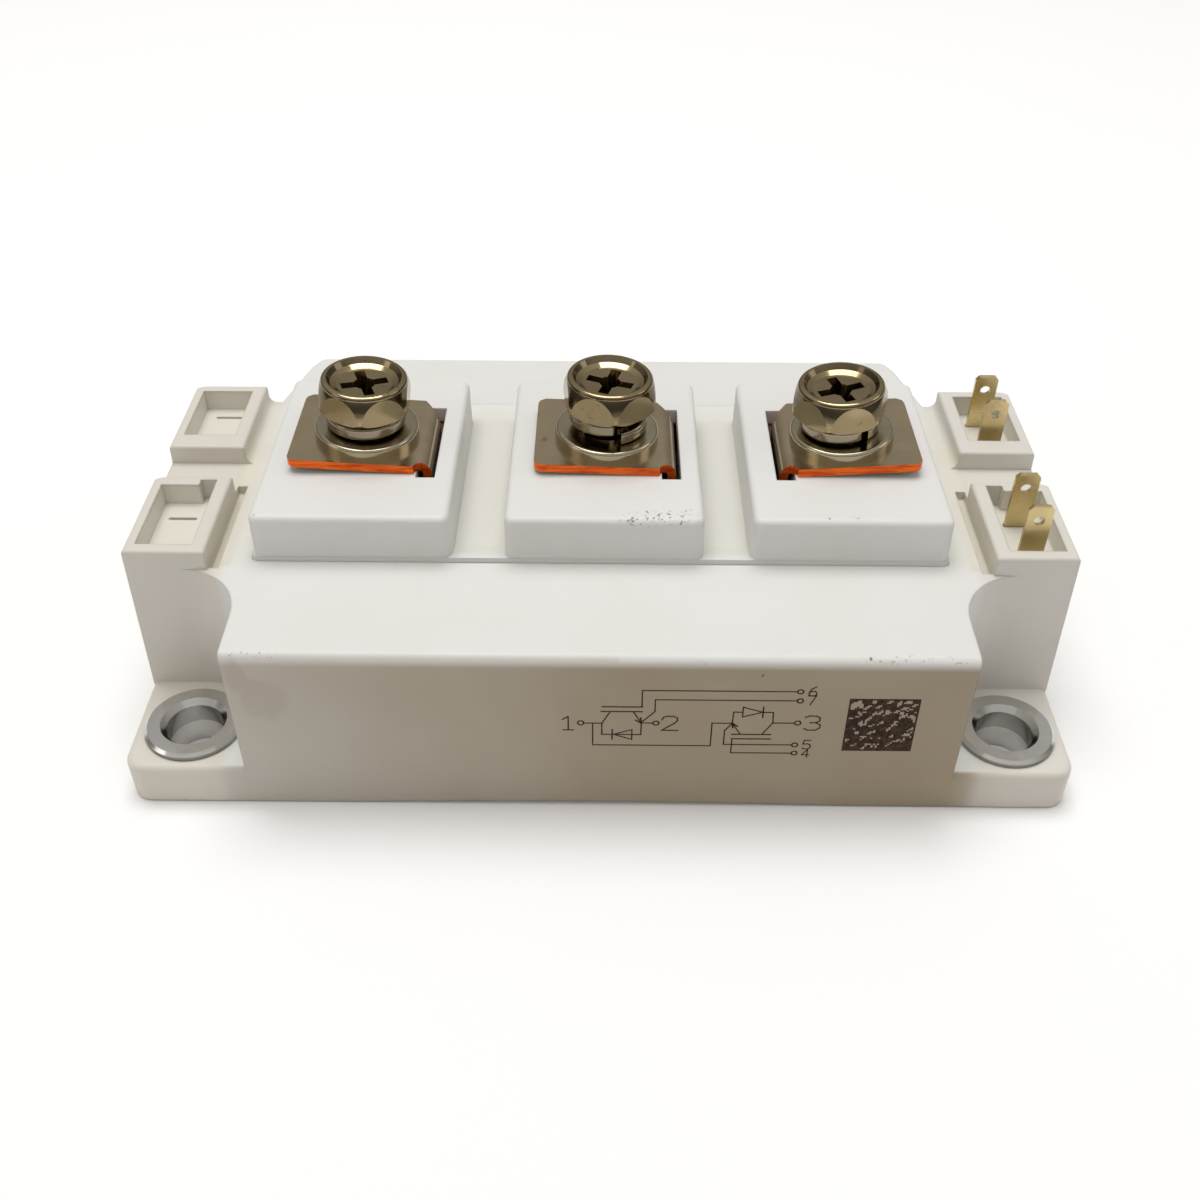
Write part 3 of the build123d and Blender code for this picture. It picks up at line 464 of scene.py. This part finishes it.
# lower switch, upside down
chain(bm, [(18.63, 13.2), (20.94, 13.2)])
chain(bm, [(15.22, 11.51), (14.29, 13.1), (14.34, 14.76), (15.32, 14.76)])
chain(bm, [(17.47, 14.76), (18.55, 14.76), (18.63, 13.2), (17.61, 11.51)])
chain(bm, [(14.37, 11.45), (18.51, 11.45)], 0.17)
chain(bm, [(14.35, 10.78), (18.57, 10.78)], 0.17)
chain(bm, [(14.37, 12.46), (14.33, 13.08), (14.87, 12.66)], 0.2)
chain(bm, [(15.32, 15.5), (15.32, 14.06), (17.42, 14.78)], closed=True)
chain(bm, [(17.47, 15.55), (17.47, 14.04)], 0.17)
chain(bm, [(14.22, 13.0), (13.54, 12.02), (13.54, 9.9), (20.97, 9.9)])
chain(bm, [(14.41, 10.75), (14.41, 8.62), (21.03, 8.62)])
for x, z in ((-1.97, 12.98), (6.1, 13.03), (21.29, 13.22)):
    circle(bm, x, z, 0.32, 0.30)
for x, z in ((21.15, 17.8), (21.25, 16.48), (21.29, 9.9), (21.35, 8.64)):
    circle(bm, x, z, 0.31, 0.29)
numeral(bm, "1", -3.35, 12.92, 2.0)
numeral(bm, "2", 7.62, 13.02, 2.1, width=0.78)
numeral(bm, "3", 22.89, 13.23, 2.1, width=0.74)
numeral(bm, "6", 22.47, 17.86, 1.3, 0.14)
numeral(bm, "7", 22.47, 16.57, 1.3, 0.14)
numeral(bm, "5", 22.59, 9.96, 1.3, 0.14)
numeral(bm, "4", 22.59, 8.64, 1.2, 0.14)
marks = piece("circuit_marks", bm, ink)

# a burnt square beside the diagram: random flakes of bare plastic in a dark field
random.seed(41)
bm = bmesh.new()
cells = 34
x0, x1, z0, z1 = 26.45, 34.0, 9.1, 16.85
grid = [[0.0] * cells for _ in range(cells)]
seeds = [(random.uniform(0, cells), random.uniform(0, cells), random.uniform(1.1, 3.2), random.uniform(0.3, 1.1), random.uniform(1.0, 2.2)) for _ in range(80)]
for j in range(cells):
    for i in range(cells):
        v = 0.0
        for cx, cz, length, slope, thin in seeds:
            dx, dz = i - cx, j - cz
            along, across = dx * math.cos(slope) + dz * math.sin(slope), -dx * math.sin(slope) + dz * math.cos(slope)
            v = max(v, 1.3 - (along / length) ** 2 - (across * thin) ** 2 * 0.8)
        edge = i in (0, cells - 1) or j in (0, cells - 1)
        grid[j][i] = v * (0.25 if edge else 1.0) + random.uniform(-0.12, 0.12)
dx, dz = (x1 - x0) / cells, (z1 - z0) / cells
for j in range(cells):
    i = 0
    while i < cells:
        if grid[j][i] < 0.62:
            k = i
            while k + 1 < cells and grid[j][k + 1] < 0.62:
                k += 1
            a, b = x0 + i * dx, x0 + (k + 1) * dx
            c, d = z0 + j * dz - 0.01, z0 + (j + 1) * dz + 0.01
            quad = [bm.verts.new(face_point(x, z, 0.012)) for x, z in ((a, c), (b, c), (b, d), (a, d))]
            back = [bm.verts.new(face_point(x, z, -0.02)) for x, z in ((a, c), (b, c), (b, d), (a, d))]
            bm.faces.new(quad)
            bm.faces.new(back[::-1])
            for q in range(4):
                r = (q + 1) % 4
                bm.faces.new((back[q], back[r], quad[r], quad[q]))
            i = k + 1
        else:
            i += 1
patch = piece("mottled_patch", bm, ink)


# ------------------------------------------------------------------ floor, light, camera
def floor():
    m = Mat("floor")
    n = m.noise(3.0, 3, 0.5)
    m.set(color=m.mix(m.smooth(n, 0.3, 0.7), (0.925, 0.925, 0.925), (0.915, 0.915, 0.915)), rough=m.linear(n, 0.3, 0.7, (0.75, 0.85)), spec=0.2)
    mesh = bpy.data.meshes.new("floor")
    s = 4.0
    mesh.from_pydata([(-s, -s, -0.00008), (s, -s, -0.00008), (s, s, -0.00008), (-s, s, -0.00008)], [], [(0, 1, 2, 3)])
    obj = bpy.data.objects.new("floor", mesh)
    scene.collection.objects.link(obj)
    obj.data.materials.append(m.mat)


floor()


def softbox(name, where, at, size, power, color=(1, 1, 1)):
    data = bpy.data.lights.new(name, "AREA")
    data.shape = "RECTANGLE"
    data.size, data.size_y = size
    data.energy = power
    data.color = color
    obj = bpy.data.objects.new(name, data)
    scene.collection.objects.link(obj)
    obj.location = Vector(where)
    obj.rotation_mode = "QUATERNION"
    obj.rotation_quaternion = (Vector(at) - Vector(where)).to_track_quat("-Z", "Y")
    return obj


softbox("key", (-0.06, 0.14, 0.90), (0, 0, 0.02), (0.62, 0.50), 5.2, (1.0, 0.995, 0.985))
softbox("fill_left", (-0.85, -0.30, 0.45), (0, 0, 0.02), (0.35, 0.35), 0.5, (1.0, 0.96, 0.90))
softbox("fill_right", (0.85, 0.10, 0.50), (0, 0, 0.02), (0.35, 0.35), 0.5, (0.98, 0.98, 1.0))

# a dim room with a soft glow overhead and behind
world = bpy.data.worlds.new("studio")
scene.world = world
world.use_nodes = True
wt = world.node_tree
wt.nodes.clear()
wout = wt.nodes.new("ShaderNodeOutputWorld")
wbg = wt.nodes.new("ShaderNodeBackground")
wt.links.new(wbg.outputs[0], wout.inputs[0])
wtc = wt.nodes.new("ShaderNodeTexCoord")
wsep = wt.nodes.new("ShaderNodeSeparateXYZ")
wt.links.new(wtc.outputs["Generated"], wsep.inputs[0])
wramp = wt.nodes.new("ShaderNodeValToRGB")
wt.links.new(wsep.outputs[2], wramp.inputs[0])
els = wramp.color_ramp.elements
els[0].position, els[0].color = 0.0, (0.17, 0.155, 0.13, 1)
els[1].position, els[1].color = 1.0, (0.62, 0.62, 0.62, 1)
for at, c in ((0.30, (0.32, 0.305, 0.275, 1)), (0.50, (0.38, 0.37, 0.345, 1)), (0.72, (0.52, 0.51, 0.49, 1))):
    els.new(at).color = c
# the near side is dimmer along the horizon and brighter above it
wnear = wt.nodes.new("ShaderNodeValToRGB")
wt.links.new(wsep.outputs[2], wnear.inputs[0])
near = wnear.color_ramp.elements
near[0].position, near[0].color = 0.0, (0.26, 0.25, 0.23, 1)
near[1].position, near[1].color = 1.0, (0.62, 0.62, 0.62, 1)
for at, c in ((0.20, (0.28, 0.27, 0.25, 1)), (0.36, (0.54, 0.53, 0.505, 1)), (0.70, (0.66, 0.65, 0.63, 1))):
    near.new(at).color = c
wside = wt.nodes.new("ShaderNodeMapRange")
wside.interpolation_type = "SMOOTHSTEP"
wt.links.new(wsep.outputs[1], wside.inputs["Value"])
for k, v in (("From Min", -0.45), ("From Max", 0.05), ("To Min", 0.0), ("To Max", 1.0)):
    wside.inputs[k].default_value = v
wmix = wt.nodes.new("ShaderNodeMix")
wmix.data_type = "RGBA"
wt.links.new(wside.outputs[0], wmix.inputs["Factor"])
wt.links.new(wnear.outputs[0], wmix.inputs[6])
wt.links.new(wramp.outputs[0], wmix.inputs[7])
wt.links.new(wmix.outputs[2], wbg.inputs["Color"])

pitch, yaw, roll = math.radians(40.291), math.radians(-0.1998), math.radians(0.3401)
fwd = Vector((math.sin(yaw) * math.cos(pitch), math.cos(yaw) * math.cos(pitch), -math.sin(pitch)))
right = Vector((math.cos(yaw), -math.sin(yaw), 0))
up = right.cross(fwd)
r = right * math.cos(roll) + up * math.sin(roll)
u = -right * math.sin(roll) + up * math.cos(roll)
cam_data = bpy.data.cameras.new("camera")
cam_data.sensor_width = 36.0
cam_data.lens = 1302.9203 * 36.0 / 1200.0
cam_data.clip_start, cam_data.clip_end = 0.01, 20.0
cam = bpy.data.objects.new("camera", cam_data)
scene.collection.objects.link(cam)
turn = Matrix((r, u, -fwd)).transposed().to_4x4()
cam.matrix_world = Matrix.Translation(Vector((0.3703, -128.6717, 113.4828)) * MM) @ turn
scene.camera = cam
scene.view_settings.view_transform = "Standard"
scene.view_settings.look = "None"
